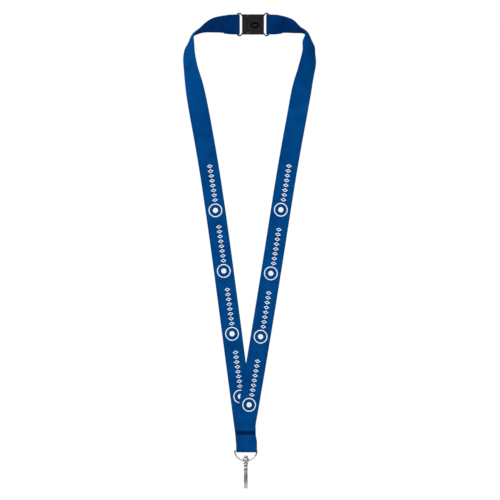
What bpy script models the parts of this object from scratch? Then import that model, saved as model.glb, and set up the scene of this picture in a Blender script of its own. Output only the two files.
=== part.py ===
"""Neck lanyard with a breakaway clasp and a swivel trigger hook.

Two printed webbing straps meet at the back of the neck in a two-piece plastic clasp and are sewn
together at the front, where the right strap turns back on itself to hold a D-ring. A trigger hook
hangs from the ring on a riveted swivel. The lanyard hangs from its clasp: +Z is up, +X is to the
right, and the printed faces of the hanging straps look along -Y.

All sizes below are in millimetres. The origin is the middle of the clasp's neck-side face.
"""
import math

import bmesh
import bpy
import numpy as np
from mathutils import Matrix, Vector

MM = 0.001

# ---- webbing ----
WEB_WIDTH = 19.0
WEB_THICK = 0.9
LAYER_HALF_PITCH = 0.62      # half the spacing of two layers sewn face to face
TAIL_LENGTH = 13.5           # sewn end, folded back round a clasp bar
FOLD_BLEND = 7.0             # the two layers close up over this length
WEB_STRIPS = 4               # flat strips across the width, so that the twist stays true
STEP = 7.0                   # spacing of the strap's cross-sections
FINE_STEP = 2.0              # the same where the strap turns at the shoulder
FINE_UNTIL = 110.0

# ---- clasp ----
CLASP_THICK = 5.6
CLASP_HALF_HEIGHT = 9.5
CLASP_HALF_WIDTH = 10.5
PARTING_X = -4.85            # where the plug's shoulder meets the socket's mouth
PARTING_GAP = 0.3
BAR_X = 14.7                 # middle of the bar that a strap is sewn round
BAR_SIZE = 1.6
SLOT_X = (10.5, 13.9)
SLOT_HALF = 9.95
LOOP_HALF = 11.2
CAVITY_HALF = 7.7
CAVITY_DEPTH_X = 6.4
CAVITY_Y = (1.3, 4.3)
PRONG_Y = (1.7, 3.9)
PRONG_END_X = 5.6
TONGUE_END_X = 3.5

# ---- straps: distance along the strap, heading and twist there ----
# heading: 0 runs straight out sideways from the clasp, 90 straight down
# twist: at 0 the printed face looks along +Y, at 90 the webbing is on edge, at 180 it looks along -Y
KNOTS = (0, 12, 24, 34, 42, 50, 58, 68, 80, 100, 130, 200, 300, 400)
LEFT_HEADING = (0, 1.5, 10, 22, 36.5, 71, 83.5, 95, 100.5, 100.5, 100.5, 98.5, 97.5, 97.5)
LEFT_TWIST = (0, 32, 51, 74, 89, 97, 116, 128, 136, 159, 180, 180, 180, 180)
RIGHT_HEADING = (0, 4, 17.5, 27, 70, 85.5, 93.5, 101.5, 104, 100.5, 100.5, 99, 99.2, 99.7)
RIGHT_TWIST = (0, 33, 57, 84, 93, 126, 131, 145, 152, 176, 180, 180, 180, 180)
LOOP_KNOTS = (414, 425, 434, 442)    # the turn at the seam and the loop under it, right strap
LOOP_HEADING = (99.7, 91, 87, 90)
LEFT_END = 433.0
RIGHT_END = 443.5
FORWARD_FROM = 13.0                  # the strap comes forward between these two distances
FORWARD_LENGTH = 60.0
SEAM_Y = -7.5                        # middle layer of the three sewn together
SEAM_Z = -389.0

# ---- ring, swivel and hook ----
WIRE_R = 0.7
FIT_GAP = 0.3
RING_HALF_WIDTH = 10.5
RING_CORNER = 1.0
RING_DROP = 8.8
BOSS_R = 3.05
BOSS_TOP = -7.0              # below the ring's bar
BOSS_BOTTOM = -11.5
RIVET_R = 0.95
RIVET_HEAD_R = 2.0
RIVET_HEAD_HEIGHT = 1.9
HOOK_TOP = -11.8
HOOK_LENGTH = 24.2
HOOK_THICK = 3.4
NECK_R = 2.1
NECK_LENGTH = 2.6
EYE_SHIFT = -1.1             # puts the hook's weight under its swivel
PIVOT = (-2.6, -6.2)         # gate pin, from the swivel axis and the hook's top
PIN_R = 0.5
SLOT_HALF_X = 1.0
HUB_X = (-0.7, 0.0)
LEVER_HALF_X = 1.35
SPRING_WIRE_R = 0.12
SPRING_COIL_R = 0.95
SPRING_X = (0.3, 0.84)
SPRING_TURNS = 1.25


# ---------------------------------------------------------------- scene and materials
def clear_scene():
    for item in list(bpy.data.objects):
        bpy.data.objects.remove(item, do_unlink=True)


def make_material(name, colour, roughness, metallic=0.0):
    material = bpy.data.materials.new(name)
    material.use_nodes = True
    shader = material.node_tree.nodes["Principled BSDF"]
    shader.inputs["Base Color"].default_value = (*colour, 1.0)
    shader.inputs["Roughness"].default_value = roughness
    shader.inputs["Metallic"].default_value = metallic
    return material


WEBBING_BLUE = (0.002, 0.056, 0.223)
THREAD_NAVY = (0.002, 0.028, 0.12)
PLASTIC_BLACK = (0.02, 0.02, 0.02)
PLATED_STEEL = (0.78, 0.78, 0.76)


def add_object(name, vertices, faces, look, origin=(0.0, 0.0, 0.0), sharp_angle=40.0, triangles=False):
    """One closed mesh from points in millimetres, with its origin at the given point."""
    mesh = bpy.data.meshes.new(name)
    mesh.from_pydata([tuple((Vector(v) - Vector(origin)) * MM) for v in vertices], [], faces)
    work = bmesh.new()
    work.from_mesh(mesh)
    bmesh.ops.recalc_face_normals(work, faces=work.faces)
    if triangles:
        bmesh.ops.triangulate(work, faces=work.faces)
    work.to_mesh(mesh)
    work.free()
    mesh.materials.append(make_material(name, *look))
    mesh.shade_smooth()
    mesh.set_sharp_from_angle(angle=math.radians(sharp_angle))
    item = bpy.data.objects.new(name, mesh)
    item.location = Vector(origin) * MM
    bpy.context.scene.collection.objects.link(item)
    return item


def hide_tool(item):
    item.hide_render = True
    item.display_type = "WIRE"


def boolean(target, tool, operation):
    hide_tool(tool)
    step = target.modifiers.new(operation.title(), "BOOLEAN")
    step.operation = operation
    step.solver = "EXACT"
    step.object = tool


def bevel(target, width, segments=2, angle=40.0):
    step = target.modifiers.new("Edges", "BEVEL")
    step.width = width * MM
    step.segments = segments
    step.limit_method = "ANGLE"
    step.angle_limit = math.radians(angle)


# ---------------------------------------------------------------- plain shapes
def rounded_outline(corners, steps=5):
    """Points of a closed outline; each corner is (u, w, radius)."""
    points = []
    count = len(corners)
    for i, (u, w, radius) in enumerate(corners):
        here = Vector((u, w))
        back = (Vector(corners[i - 1][:2]) - here).normalized()
        ahead = (Vector(corners[(i + 1) % count][:2]) - here).normalized()
        if radius == 0.0:
            points.append(tuple(here))
            continue
        half = back.angle(ahead) / 2.0
        reach = radius / math.tan(half)
        centre = here + (back + ahead).normalized() * (radius / math.sin(half))
        first = here + back * reach - centre
        last = here + ahead * reach - centre
        sweep = first.angle_signed(last)
        for k in range(steps + 1):
            turn = Matrix.Rotation(-sweep * k / steps, 2)
            points.append(tuple(centre + turn @ first))
    return points


def prism(outline, place):
    """Closed prism of an outline; place(u, w, end) gives a 3-D point, end is 0 or 1."""
    count = len(outline)
    vertices = [place(u, w, end) for end in (0, 1) for u, w in outline]
    faces = [(i, (i + 1) % count, count + (i + 1) % count, count + i) for i in range(count)]
    faces += [tuple(range(count)), tuple(range(count, 2 * count))]
    return vertices, faces


def box(x, y, z):
    outline = [(x[0], z[0]), (x[1], z[0]), (x[1], z[1]), (x[0], z[1])]
    return prism(outline, lambda u, w, end: (u, y[end], w))


def turned(profile, axis_x, axis_y, sides=24):
    """Solid turned about a vertical axis; profile is (radius, z) from top to bottom."""
    vertices = []
    faces = []
    rings = []
    for radius, z in profile:
        if radius == 0.0:
            rings.append([len(vertices)])
            vertices.append((axis_x, axis_y, z))
            continue
        rings.append(list(range(len(vertices), len(vertices) + sides)))
        for k in range(sides):
            angle = 2.0 * math.pi * k / sides
            vertices.append((axis_x + radius * math.cos(angle), axis_y + radius * math.sin(angle), z))
    for upper, lower in zip(rings, rings[1:]):
        for k in range(sides):
            loop = [upper[k % len(upper)], upper[(k + 1) % len(upper)],
                    lower[(k + 1) % len(lower)], lower[k % len(lower)]]
            faces.append(tuple(dict.fromkeys(loop)))
    return vertices, faces


def tube(points, radius, sides=8, closed=False):
    """Round wire through the points, with flat ends unless it is closed."""
    points = [Vector(p) for p in points]
    count = len(points)
    side = None
    vertices = []
    for i, point in enumerate(points):
        before = points[i - 1] if closed or i > 0 else point
        after = points[(i + 1) % count] if closed or i < count - 1 else point
        along = (after - before).normalized()
        if side is None:
            side = along.orthogonal().normalized()
        side = (side - along * side.dot(along)).normalized()
        other = along.cross(side)
        for k in range(sides):
            angle = 2.0 * math.pi * k / sides
            vertices.append(tuple(point + (side * math.cos(angle) + other * math.sin(angle)) * radius))
    faces = []
    for i in range(count if closed else count - 1):
        for k in range(sides):
            faces.append((i * sides + k, i * sides + (k + 1) % sides,
                          (i + 1) % count * sides + (k + 1) % sides, (i + 1) % count * sides + k))
    if not closed:
        faces += [tuple(range(sides)), tuple(range((count - 1) * sides, count * sides))]
    return vertices, faces


# ---------------------------------------------------------------- webbing
def smoothstep(t):
    t = np.clip(t, 0.0, 1.0)
    return t * t * (3.0 - 2.0 * t)


def smooth_value(knots, values, s):
    """Smooth curve through values given at the knots."""
    knots = np.asarray(knots, float)
    values = np.asarray(values, float)
    slopes = np.gradient(values, knots)
    slopes[0] = slopes[-1] = 0.0
    i = np.clip(np.searchsorted(knots, s) - 1, 0, len(knots) - 2)
    span = knots[i + 1] - knots[i]
    t = np.clip((s - knots[i]) / span, 0.0, 1.0)
    return ((2 * t**3 - 3 * t**2 + 1) * values[i] + (t**3 - 2 * t**2 + t) * span * slopes[i]
            + (3 * t**2 - 2 * t**3) * values[i + 1] + (t**3 - t**2) * span * slopes[i + 1])


class StrapPath:
    """Centre line of a strap with its printed-face normal and its across direction."""

    def __init__(self, side, heading_knots, headings, twists, length, end_y):
        s = np.linspace(0.0, length, int(length * 2) + 1)
        heading = np.radians(smooth_value(heading_knots, headings, s))
        twist = np.radians(smooth_value(KNOTS, twists, s))
        start_y = CLASP_THICK / 2.0
        y = start_y + (end_y - start_y) * smoothstep((s - FORWARD_FROM) / FORWARD_LENGTH)
        slope = np.gradient(y, s)
        flat = np.sqrt(1.0 - slope**2)
        along = np.stack([-np.cos(heading) * flat, slope, -np.sin(heading) * flat], axis=1)
        outward = np.stack([-np.sin(heading), 0.0 * heading, np.cos(heading)], axis=1)
        away = np.cross(along, outward)
        normal = np.cos(twist)[:, None] * away + np.sin(twist)[:, None] * outward
        across = np.cross(normal, along)
        middle = (along[1:] + along[:-1]) / 2.0 * np.diff(s)[:, None]
        centre = np.concatenate([[[0.0, 0.0, 0.0]], np.cumsum(middle, axis=0)])
        centre += np.array([-BAR_X, 0.0, 0.0])
        centre[:, 1] = y
        mirror = np.array([-side, 1.0, 1.0])
        self.s = s
        self.centre = centre * mirror
        self.along = along * mirror
        self.normal = normal * mirror
        self.across = across * mirror

    def at(self, s):
        return [Vector([float(np.interp(s, self.s, rows[:, k])) for k in range(3)])
                for rows in (self.centre, self.along, self.normal, self.across)]


def fold_radius(bar_r):
    return bar_r + FIT_GAP + WEB_THICK / 2.0


def layer_offset(s):
    """How far the strap's run stands off the middle plane of its sewn end."""
    fold_r = fold_radius(BAR_SIZE / 2.0 + 0.1)
    if s < TAIL_LENGTH + 2.0:
        return LAYER_HALF_PITCH + (fold_r - LAYER_HALF_PITCH) * float(1.0 - smoothstep(s / FOLD_BLEND))
    return LAYER_HALF_PITCH * float(1.0 - smoothstep((s - TAIL_LENGTH - 2.0) / 24.0))


def half_turn(centre, start, end, radius, steps=10):
    """Centres and normals of a fold that swings from direction start through end to -start."""
    rows = []
    for k in range(1, steps):
        angle = math.pi * k / steps
        normal = start * math.cos(angle) + end * math.sin(angle)
        rows.append((centre + normal * radius, normal))
    return rows


def clasp_end_rows(path):
    """The sewn tail and the fold round the clasp bar."""
    rows = []
    for s in np.linspace(TAIL_LENGTH, 0.0, 9):
        centre, along, normal, across = path.at(s)
        rows.append((centre - normal * layer_offset(s), -normal, across))
    centre, along, normal, across = path.at(0.0)
    for point, outward in half_turn(centre, -normal, -along, layer_offset(0.0)):
        rows.append((point, outward, across))
    return rows


def run_rows(path, length):
    fine = np.arange(0.0, FINE_UNTIL, FINE_STEP)
    coarse = np.linspace(FINE_UNTIL, length, int((length - FINE_UNTIL) / STEP) + 1)
    rows = []
    for s in np.concatenate([fine, coarse]):
        centre, along, normal, across = path.at(s)
        rows.append((centre + normal * layer_offset(s), normal, across))
    return rows


def ring_loop_rows(path, length, top_z):
    """The right strap's turn round the D-ring's bar and its tail up to the seam."""
    centre, along, normal, across = path.at(length)
    radius = fold_radius(WIRE_R)
    bar = centre - normal * radius
    rows = [(point, outward, across) for point, outward in half_turn(bar, normal, along, radius)]
    back = bar - normal * radius
    for z in np.linspace(back.z, top_z, 7):
        rows.append((Vector((back.x, back.y, z)), -normal, across))
    return rows, bar


def webbing(name, rows):
    stations = np.linspace(1.0, -1.0, WEB_STRIPS + 1)
    vertices = []
    for centre, normal, across in rows:
        wide = across.normalized() * (WEB_WIDTH / 2.0)
        thick = normal.normalized() * (WEB_THICK / 2.0)
        vertices += [centre + wide * v + thick for v in stations]
        vertices += [centre + wide * v - thick for v in reversed(stations)]
    ring = 2 * len(stations)
    faces = []
    for i in range(len(rows) - 1):
        for k in range(ring):
            after = (k + 1) % ring
            faces.append((ring * i + k, ring * i + after, ring * (i + 1) + after, ring * (i + 1) + k))
    last = ring * (len(rows) - 1)
    faces += [tuple(range(ring)), tuple(range(last, last + ring))]
    return add_object(name, vertices, faces, (WEBBING_BLUE, 0.75), sharp_angle=30.0)


# ---------------------------------------------------------------- sewing thread
THREAD_R = 0.2
THREAD_GAP = 0.2
STITCH_HALF = 8.4


def thread_rows(name, place, rows_at):
    """One thread laid back and forth across the webbing; place(t, v) gives a point."""
    points = []
    for i, t in enumerate(rows_at):
        sweep = np.linspace(-STITCH_HALF, STITCH_HALF, 7) * (1 if i % 2 == 0 else -1)
        points += [place(t, v) for v in sweep]
    vertices, faces = tube(points, THREAD_R, sides=6)
    return add_object(name, vertices, faces, (THREAD_NAVY, 0.7))


def tail_thread(name, path):
    lift = WEB_THICK / 2.0 + THREAD_GAP + THREAD_R

    def place(s, v):
        centre, along, normal, across = path.at(s)
        return centre - normal * (layer_offset(s) + lift) + across * v

    return thread_rows(name, place, (9.6, 10.9, 12.2))


def seam_thread(name, path):
    lift = WEB_THICK / 2.0 + THREAD_GAP + THREAD_R
    middle = float(np.interp(-SEAM_Z, -path.centre[:, 2], path.s))

    def place(s, v):
        centre, along, normal, across = path.at(s)
        return centre + normal * lift + across * v

    return thread_rows(name, place, [middle + d for d in (-2.0, -0.7, 0.7, 2.0)])


# ---------------------------------------------------------------- clasp
def clasp_block(name, x):
    vertices, faces = box(x, (0.0, CLASP_THICK), (-CLASP_HALF_HEIGHT, CLASP_HALF_HEIGHT))
    return add_object(name, vertices, faces, (PLASTIC_BLACK, 0.45))


def strap_bar_frame(name, side):
    """The open frame at a clasp half's outer end, with the bar a strap is sewn round."""
    outer_x = BAR_X + BAR_SIZE / 2.0
    root_x = CLASP_HALF_WIDTH - 1.5
    root_half = CLASP_HALF_HEIGHT - 0.3
    corners = [(root_x, -root_half, 0.0), (CLASP_HALF_WIDTH - 0.3, -root_half, 1.0),
               (CLASP_HALF_WIDTH + 1.2, -LOOP_HALF, 0.8), (outer_x, -LOOP_HALF, 2.0),
               (outer_x, LOOP_HALF, 2.0), (CLASP_HALF_WIDTH + 1.2, LOOP_HALF, 0.8),
               (CLASP_HALF_WIDTH - 0.3, root_half, 1.0), (root_x, root_half, 0.0)]
    half = BAR_SIZE / 2.0
    y = (CLASP_THICK / 2.0 - half, CLASP_THICK / 2.0 + half)
    vertices, faces = prism(rounded_outline(corners, 4), lambda u, w, end: (side * u, y[end], w))
    frame = add_object(name, vertices, faces, (PLASTIC_BLACK, 0.45))
    near, far = SLOT_X
    opening = [(near, -SLOT_HALF + 2.1, 0.0), (near + 1.5, -SLOT_HALF, 0.5), (far, -SLOT_HALF, 0.0),
               (far, SLOT_HALF, 0.0), (near + 1.5, SLOT_HALF, 0.5), (near, SLOT_HALF - 2.1, 0.0)]
    through = (-1.0, CLASP_THICK + 1.0)
    vertices, faces = prism(rounded_outline(opening, 3), lambda u, w, end: (side * u, through[end], w))
    slot = add_object(name + "_slot", vertices, faces, (PLASTIC_BLACK, 0.45))
    boolean(frame, slot, "DIFFERENCE")
    bevel(frame, 0.3, 1)
    return frame


def build_socket():
    socket = clasp_block("clasp_socket", (PARTING_X + PARTING_GAP / 2.0, CLASP_HALF_WIDTH))
    bevel(socket, 0.7)
    boolean(socket, strap_bar_frame("socket_bar_frame", 1), "UNION")
    vertices, faces = box((PARTING_X - 3.0, CAVITY_DEPTH_X), CAVITY_Y, (-CAVITY_HALF, CAVITY_HALF))
    boolean(socket, add_object("socket_cavity", vertices, faces, (PLASTIC_BLACK, 0.45)), "DIFFERENCE")
    return socket


def build_plug():
    shoulder_x = PARTING_X - PARTING_GAP / 2.0
    plug = clasp_block("clasp_plug", (-CLASP_HALF_WIDTH, shoulder_x))
    bevel(plug, 0.7)
    boolean(plug, strap_bar_frame("plug_bar_frame", -1), "UNION")
    prong = [(shoulder_x - 1.5, 4.3, 0.0), (PRONG_END_X, 4.3, 0.6), (PRONG_END_X, 6.6, 0.6),
             (PRONG_END_X - 2.0, 7.4, 0.8), (PRONG_END_X - 3.6, 6.6, 0.5), (shoulder_x - 1.5, 6.6, 0.0)]
    for label, side in (("upper", 1), ("lower", -1)):
        vertices, faces = prism(rounded_outline(prong, 3),
                                lambda u, w, end, side=side: (u, PRONG_Y[end], side * w))
        arm = add_object("plug_prong_" + label, vertices, faces, (PLASTIC_BLACK, 0.45))
        boolean(plug, arm, "UNION")
    tongue = [(shoulder_x - 1.5, -2.2, 0.0), (TONGUE_END_X, -2.2, 1.2),
              (TONGUE_END_X, 2.2, 1.2), (shoulder_x - 1.5, 2.2, 0.0)]
    vertices, faces = prism(rounded_outline(tongue, 3), lambda u, w, end: (u, PRONG_Y[end], w))
    boolean(plug, add_object("plug_tongue", vertices, faces, (PLASTIC_BLACK, 0.45)), "UNION")
    return plug


# ---------------------------------------------------------------- ring and swivel
def ring_points(bar):
    """Wire centre line: a straight bar, two round corners and a shallow bow."""
    flat = RING_HALF_WIDTH - RING_CORNER
    points = [(bar.x + x, bar.z) for x in np.linspace(-flat, flat, 6)]
    for k in range(1, 5):
        angle = math.pi / 2.0 * (1.0 - k / 5.0)
        points.append((bar.x + flat + RING_CORNER * math.cos(angle),
                       bar.z - RING_CORNER + RING_CORNER * math.sin(angle)))
    for k in range(29):
        angle = -math.pi * k / 28.0
        points.append((bar.x + RING_HALF_WIDTH * math.cos(angle),
                       bar.z - RING_CORNER + RING_DROP * math.sin(angle)))
    for k in range(1, 5):
        angle = math.pi / 2.0 * (1.0 + (5 - k) / 5.0)
        points.append((bar.x - flat + RING_CORNER * math.cos(angle),
                       bar.z - RING_CORNER + RING_CORNER * math.sin(angle)))
    return [(x, bar.y, z) for x, z in points]


def build_ring(bar):
    vertices, faces = tube(ring_points(bar), WIRE_R, sides=10, closed=True)
    ring = add_object("d_ring", vertices, faces, (PLATED_STEEL, 0.2, 1.0), origin=tuple(bar))
    top = bar.z + BOSS_TOP
    bottom = bar.z + BOSS_BOTTOM
    profile = [(0.0, top), (BOSS_R - 0.9, top), (BOSS_R - 0.25, top - 0.6), (BOSS_R, top - 1.5),
               (BOSS_R, bottom + 1.5), (BOSS_R - 0.25, bottom + 0.6), (BOSS_R - 0.9, bottom), (0.0, bottom)]
    vertices, faces = turned(profile, bar.x, bar.y)
    boolean(ring, add_object("ring_boss", vertices, faces, (PLATED_STEEL, 0.2, 1.0)), "UNION")
    hole_r = RIVET_R + FIT_GAP
    profile = [(0.0, top + 1.0), (hole_r, top + 1.0), (hole_r, bottom - 1.0), (0.0, bottom - 1.0)]
    vertices, faces = turned(profile, bar.x, bar.y)
    boolean(ring, add_object("ring_bore", vertices, faces, (PLATED_STEEL, 0.2, 1.0)), "DIFFERENCE")
    return ring


def build_rivet(bar):
    seat = bar.z + BOSS_TOP + FIT_GAP
    tip = bar.z + HOOK_TOP - 2.2
    dome = [(RIVET_HEAD_R * math.cos(a), seat + 0.5 + (RIVET_HEAD_HEIGHT - 0.5) * math.sin(a))
            for a in np.radians((75, 55, 35, 15, 0))]
    profile = [(0.0, seat + RIVET_HEAD_HEIGHT)] + dome
    profile += [(RIVET_HEAD_R - 0.15, seat), (RIVET_R, seat), (RIVET_R, tip), (0.0, tip)]
    vertices, faces = turned(profile, bar.x, bar.y)
    return add_object("swivel_rivet", vertices, faces, (PLATED_STEEL, 0.2, 1.0),
                      origin=(bar.x, bar.y, seat))


# ---------------------------------------------------------------- hook and gate
def hook_place(bar, x):
    """Maps hook outlines (depth from the swivel axis, height from the hook's top) to points."""
    return lambda u, w, end: (bar.x + x[end], bar.y + EYE_SHIFT + u, bar.z + HOOK_TOP + w)


def build_hook(bar):
    half = HOOK_THICK / 2.0
    outline = [(-2.4, -1.9, 0.7), (3.7, -1.9, 1.2), (6.0, -8.0, 4.0), (6.0, -HOOK_LENGTH, 5.8),
               (-5.6, -HOOK_LENGTH, 5.2), (-5.6, -18.4, 0.9), (-3.3, -18.4, 0.7), (-3.3, -21.4, 1.9),
               (3.4, -21.4, 2.6), (3.4, -10.2, 2.6), (0.4, -8.2, 0.8), (-4.4, -8.2, 1.2), (-4.4, -3.8, 1.4)]
    vertices, faces = prism(rounded_outline(outline), hook_place(bar, (-half, half)))
    hook = add_object("hook_body", vertices, faces, (PLATED_STEEL, 0.2, 1.0),
                      origin=(bar.x, bar.y, bar.z + HOOK_TOP))
    bevel(hook, 0.5, 2, 50.0)
    top = bar.z + HOOK_TOP
    profile = [(0.0, top), (NECK_R - 0.3, top), (NECK_R, top - 0.4), (NECK_R, top - NECK_LENGTH + 0.4),
               (NECK_R - 0.5, top - NECK_LENGTH), (0.0, top - NECK_LENGTH)]
    vertices, faces = turned(profile, bar.x, bar.y)
    boolean(hook, add_object("hook_neck", vertices, faces, (PLATED_STEEL, 0.2, 1.0)), "UNION")
    hole_r = RIVET_R + FIT_GAP
    profile = [(0.0, top + 1.0), (hole_r, top + 1.0), (hole_r, top - 2.5), (0.0, top - 2.5)]
    vertices, faces = turned(profile, bar.x, bar.y)
    boolean(hook, add_object("hook_rivet_hole", vertices, faces, (PLATED_STEEL, 0.2, 1.0)), "DIFFERENCE")
    slot = [(-9.0, -3.4, 0.0), (0.3, -3.4, 0.8), (0.9, -6.0, 0.8), (0.3, -9.4, 0.0), (-9.0, -9.4, 0.0)]
    vertices, faces = prism(rounded_outline(slot, 3), hook_place(bar, (-SLOT_HALF_X, SLOT_HALF_X)))
    boolean(hook, add_object("hook_gate_slot", vertices, faces, (PLATED_STEEL, 0.2, 1.0)), "DIFFERENCE")
    boolean(hook, pin_cylinder("hook_pin_hole", bar, PIN_R + FIT_GAP, half + 1.0), "DIFFERENCE")
    return hook


def pin_cylinder(name, bar, radius, half_length, sides=16):
    circle = [(PIVOT[0] + radius * math.cos(2.0 * math.pi * k / sides),
               PIVOT[1] + radius * math.sin(2.0 * math.pi * k / sides)) for k in range(sides)]
    vertices, faces = prism(circle, hook_place(bar, (-half_length, half_length)))
    return add_object(name, vertices, faces, (PLATED_STEEL, 0.2, 1.0), origin=pivot_point(bar))


def pivot_point(bar):
    return (bar.x, bar.y + EYE_SHIFT + PIVOT[0], bar.z + HOOK_TOP + PIVOT[1])


def build_gate(bar):
    """Thumb tab, pivot hub and closing lever; the lever closes against the inside of the nose."""
    hub = [(-7.6, -4.2, 0.3), (-7.2, -3.4, 0.3), (-4.6, -5.0, 0.8), (-2.6, -4.6, 0.9), (-1.1, -5.4, 0.9),
           (-1.5, -10.4, 0.0), (-3.0, -10.4, 0.0), (-4.1, -6.4, 0.9)]
    vertices, faces = prism(rounded_outline(hub, 4), hook_place(bar, HUB_X))
    gate = add_object("hook_gate", vertices, faces, (PLATED_STEEL, 0.22, 1.0), origin=pivot_point(bar))
    lever = [(-3.0, -8.9, 0.3), (-1.5, -8.9, 0.3), (-1.5, -19.7, 0.6), (-3.0, -19.7, 0.4)]
    vertices, faces = prism(rounded_outline(lever, 3), hook_place(bar, (-LEVER_HALF_X, LEVER_HALF_X)))
    boolean(gate, add_object("gate_lever", vertices, faces, (PLATED_STEEL, 0.22, 1.0)), "UNION")
    tab = [(-7.9, -4.3, 0.4), (-7.3, -3.1, 0.4), (-5.6, -4.1, 0.2), (-5.9, -5.2, 0.2)]
    vertices, faces = prism(rounded_outline(tab, 3), hook_place(bar, (-LEVER_HALF_X, LEVER_HALF_X)))
    boolean(gate, add_object("gate_tab", vertices, faces, (PLATED_STEEL, 0.22, 1.0)), "UNION")
    boolean(gate, pin_cylinder("gate_bore", bar, PIN_R + FIT_GAP, HOOK_THICK), "DIFFERENCE")
    return gate


def build_spring(bar):
    """Torsion spring round the gate pin: one leg on the lever, one in the body's slot."""
    u, w = PIVOT
    lever_leg = [(SPRING_X[0], u + SPRING_COIL_R + 0.55, w - 3.6),
                 (SPRING_X[0], u + SPRING_COIL_R + 0.35, w - 2.0)]
    coil = []
    steps = 24
    for k in range(steps + 1):
        turn = k / steps
        angle = 2.0 * math.pi * SPRING_TURNS * turn
        coil.append((SPRING_X[0] + (SPRING_X[1] - SPRING_X[0]) * turn,
                     u + SPRING_COIL_R * math.cos(angle), w + SPRING_COIL_R * math.sin(angle)))
    body_leg = [(SPRING_X[1], u + 1.4, w + SPRING_COIL_R + 0.05), (SPRING_X[1], u + 2.5, w + SPRING_COIL_R)]
    points = [(bar.x + x, bar.y + EYE_SHIFT + du, bar.z + HOOK_TOP + dw)
              for x, du, dw in lever_leg + coil + body_leg]
    vertices, faces = tube(points, SPRING_WIRE_R, sides=6)
    return add_object("gate_spring", vertices, faces, (PLATED_STEEL, 0.3, 1.0),
                      origin=pivot_point(bar), triangles=True)


# ---------------------------------------------------------------- assembly
def main():
    clear_scene()
    left = StrapPath(-1, KNOTS, LEFT_HEADING, LEFT_TWIST, LEFT_END, SEAM_Y)
    front_y = SEAM_Y - fold_radius(WIRE_R)
    right = StrapPath(1, KNOTS + LOOP_KNOTS, RIGHT_HEADING + LOOP_HEADING, RIGHT_TWIST, RIGHT_END, front_y)
    loop, bar = ring_loop_rows(right, RIGHT_END, SEAM_Z + 4.5)
    webbing("strap_left", clasp_end_rows(left) + run_rows(left, LEFT_END))
    webbing("strap_right", clasp_end_rows(right) + run_rows(right, RIGHT_END) + loop)
    tail_thread("left_tail_thread", left)
    tail_thread("right_tail_thread", right)
    seam_thread("seam_thread", right)
    build_socket()
    build_plug()
    build_ring(bar)
    build_rivet(bar)
    build_hook(bar)
    build_gate(bar)
    pin_cylinder("gate_pin", bar, PIN_R, HOOK_THICK / 2.0)
    build_spring(bar)


main()
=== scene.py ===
"""Looks of the webbing lanyard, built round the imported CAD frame.

The straps are modelled as finely sectioned webbing along the same paths as in the CAD model, with
their prints, sewing and sewn loop. The clasp, ring and hook are remade with rounded edges.
Lengths are in millimetres until a mesh is made; the frame is in metres.
"""
import math
import random

import bmesh
import bpy
import numpy as np
from mathutils import Matrix, Vector


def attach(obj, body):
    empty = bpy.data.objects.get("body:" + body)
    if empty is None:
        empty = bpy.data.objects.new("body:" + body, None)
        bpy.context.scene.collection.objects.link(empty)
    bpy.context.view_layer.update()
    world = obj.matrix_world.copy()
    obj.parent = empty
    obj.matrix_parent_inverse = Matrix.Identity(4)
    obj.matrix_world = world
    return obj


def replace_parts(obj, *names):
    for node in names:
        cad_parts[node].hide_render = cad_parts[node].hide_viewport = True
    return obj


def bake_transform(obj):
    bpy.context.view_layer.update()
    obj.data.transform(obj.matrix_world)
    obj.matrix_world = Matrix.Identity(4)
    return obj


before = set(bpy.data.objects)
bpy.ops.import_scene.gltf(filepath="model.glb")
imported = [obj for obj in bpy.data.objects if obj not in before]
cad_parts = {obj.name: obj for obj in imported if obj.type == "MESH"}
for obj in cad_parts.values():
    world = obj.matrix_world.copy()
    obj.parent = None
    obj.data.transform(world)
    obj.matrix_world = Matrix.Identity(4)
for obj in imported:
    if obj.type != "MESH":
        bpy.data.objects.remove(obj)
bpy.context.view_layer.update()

MM = 0.001

# ---- webbing, as in the CAD model ----
WEB_WIDTH = 19.0
WEB_THICK = 0.9
LAYER_HALF_PITCH = 0.62
TAIL_LENGTH = 13.5
FOLD_BLEND = 7.0
CLASP_THICK = 5.6
BAR_X = 14.7
BAR_SIZE = 1.6
FIT_GAP = 0.3
KNOTS = (0, 12, 24, 34, 42, 50, 58, 68, 80, 100, 130, 200, 300, 400)
LEFT_HEADING = (0, 1.5, 10, 22, 36.5, 71, 83.5, 95, 100.5, 100.5, 100.5, 98.5, 97.5, 97.5)
LEFT_TWIST = (0, 32, 51, 74, 89, 97, 116, 128, 136, 159, 180, 180, 180, 180)
RIGHT_HEADING = (0, 4, 17.5, 27, 70, 85.5, 93.5, 101.5, 104, 100.5, 100.5, 99, 99.2, 99.7)
RIGHT_TWIST = (0, 33, 57, 84, 93, 126, 131, 145, 152, 176, 180, 180, 180, 180)
LOOP_KNOTS = (414, 425, 434, 442)
LOOP_HEADING = (99.7, 91, 87, 90)
LEFT_END = 433.0
RIGHT_END = 443.5
FORWARD_FROM = 13.0
FORWARD_LENGTH = 60.0
SEAM_Y = -7.5
SEAM_Z = -389.0
WIRE_R = 0.7
LOOP_TAIL_TOP = SEAM_Z + 4.5

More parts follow.
